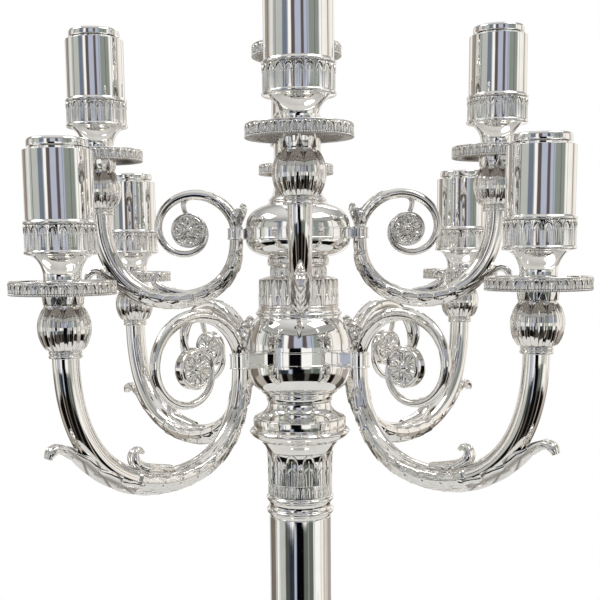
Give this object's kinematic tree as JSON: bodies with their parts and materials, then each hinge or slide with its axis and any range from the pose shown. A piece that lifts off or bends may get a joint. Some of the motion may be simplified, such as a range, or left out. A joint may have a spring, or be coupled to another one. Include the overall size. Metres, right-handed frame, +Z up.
{
  "type": "tabletop candelabra",
  "caption": "Tall silver candelabra: round weighted base, plain column and a lift-off branch unit with scrolled arms in two tiers, each with a drip pan and candle cup.",
  "frame": {"origin": "centre of the base's underside, on the column's axis", "axes": "+Z up along the column; -Y is the front, where one upper arm points; the lower arms stand at 45 degrees between the upper ones"},
  "size_m": [0.36, 0.36, 0.798],
  "materials": {
    "polished_silver": "mirror-polished silver plate",
    "relief_silver": "polished silver plate over cast relief, darker in the recesses",
    "socket_silver": "polished silver plate, slightly dulled by wax",
    "steel_fixings": "plain turned steel",
    "iron_ballast": "rough casting",
    "green_felt": "felt"
  },
  "bodies": {
    "stand": {"base_foot": "polished_silver", "base_felt": "green_felt", "base_ballast": "iron_ballast", "base_nut": "steel_fixings", "column_tube": "polished_silver", "column_capital": "relief_silver", "column_rod": "steel_fixings"},
    "branches": {"branch_plug": "relief_silver", "lower_drum": "polished_silver", "lower_band": "relief_silver", "leaf_sleeve": "relief_silver", "upper_drum": "polished_silver", "upper_band": "relief_silver", "top_stem": "relief_silver", "branch_rod": "steel_fixings", "band_screws": "steel_fixings", "arm_rosettes": "relief_silver", "arm_low_1": "relief_silver", "arm_low_2": "relief_silver", "arm_low_3": "relief_silver", "arm_low_4": "relief_silver", "arm_high_1": "relief_silver", "arm_high_2": "relief_silver", "arm_high_3": "relief_silver", "arm_high_4": "relief_silver", "bud_low_1": "relief_silver", "bud_low_2": "relief_silver", "bud_low_3": "relief_silver", "bud_low_4": "relief_silver", "bud_high_1": "relief_silver", "bud_high_2": "relief_silver", "bud_high_3": "relief_silver", "bud_high_4": "relief_silver", "pan_low_1": "relief_silver", "pan_low_2": "relief_silver", "pan_low_3": "relief_silver", "pan_low_4": "relief_silver", "pan_high_1": "relief_silver", "pan_high_2": "relief_silver", "pan_high_3": "relief_silver", "pan_high_4": "relief_silver", "pan_top": "relief_silver", "cup_low_1": "polished_silver", "cup_low_2": "polished_silver", "cup_low_3": "polished_silver", "cup_low_4": "polished_silver", "cup_high_1": "polished_silver", "cup_high_2": "polished_silver", "cup_high_3": "polished_silver", "cup_high_4": "polished_silver", "cup_top": "polished_silver"},
    "insert_low_1_body": {"insert_low_1": "socket_silver"},
    "insert_low_2_body": {"insert_low_2": "socket_silver"},
    "insert_low_3_body": {"insert_low_3": "socket_silver"},
    "insert_low_4_body": {"insert_low_4": "socket_silver"},
    "insert_high_1_body": {"insert_high_1": "socket_silver"},
    "insert_high_2_body": {"insert_high_2": "socket_silver"},
    "insert_high_3_body": {"insert_high_3": "socket_silver"},
    "insert_high_4_body": {"insert_high_4": "socket_silver"},
    "insert_top_body": {"insert_top": "socket_silver"}
  },
  "joints": [
    {"name": "branches_lift", "type": "slide", "parent": "stand", "child": "branches", "axis": [0, 0, 1], "range_m": [0, 0.055]},
    {"name": "insert_lift_low_1", "type": "slide", "parent": "branches", "child": "insert_low_1_body", "axis": [0, 0, 1], "range_m": [0, 0.035]},
    {"name": "insert_lift_low_2", "type": "slide", "parent": "branches", "child": "insert_low_2_body", "axis": [0, 0, 1], "range_m": [0, 0.035]},
    {"name": "insert_lift_low_3", "type": "slide", "parent": "branches", "child": "insert_low_3_body", "axis": [0, 0, 1], "range_m": [0, 0.035]},
    {"name": "insert_lift_low_4", "type": "slide", "parent": "branches", "child": "insert_low_4_body", "axis": [0, 0, 1], "range_m": [0, 0.035]},
    {"name": "insert_lift_high_1", "type": "slide", "parent": "branches", "child": "insert_high_1_body", "axis": [0, 0, 1], "range_m": [0, 0.035]},
    {"name": "insert_lift_high_2", "type": "slide", "parent": "branches", "child": "insert_high_2_body", "axis": [0, 0, 1], "range_m": [0, 0.035]},
    {"name": "insert_lift_high_3", "type": "slide", "parent": "branches", "child": "insert_high_3_body", "axis": [0, 0, 1], "range_m": [0, 0.035]},
    {"name": "insert_lift_high_4", "type": "slide", "parent": "branches", "child": "insert_high_4_body", "axis": [0, 0, 1], "range_m": [0, 0.035]},
    {"name": "insert_lift_top", "type": "slide", "parent": "branches", "child": "insert_top_body", "axis": [0, 0, 1], "range_m": [0, 0.035]}
  ]
}
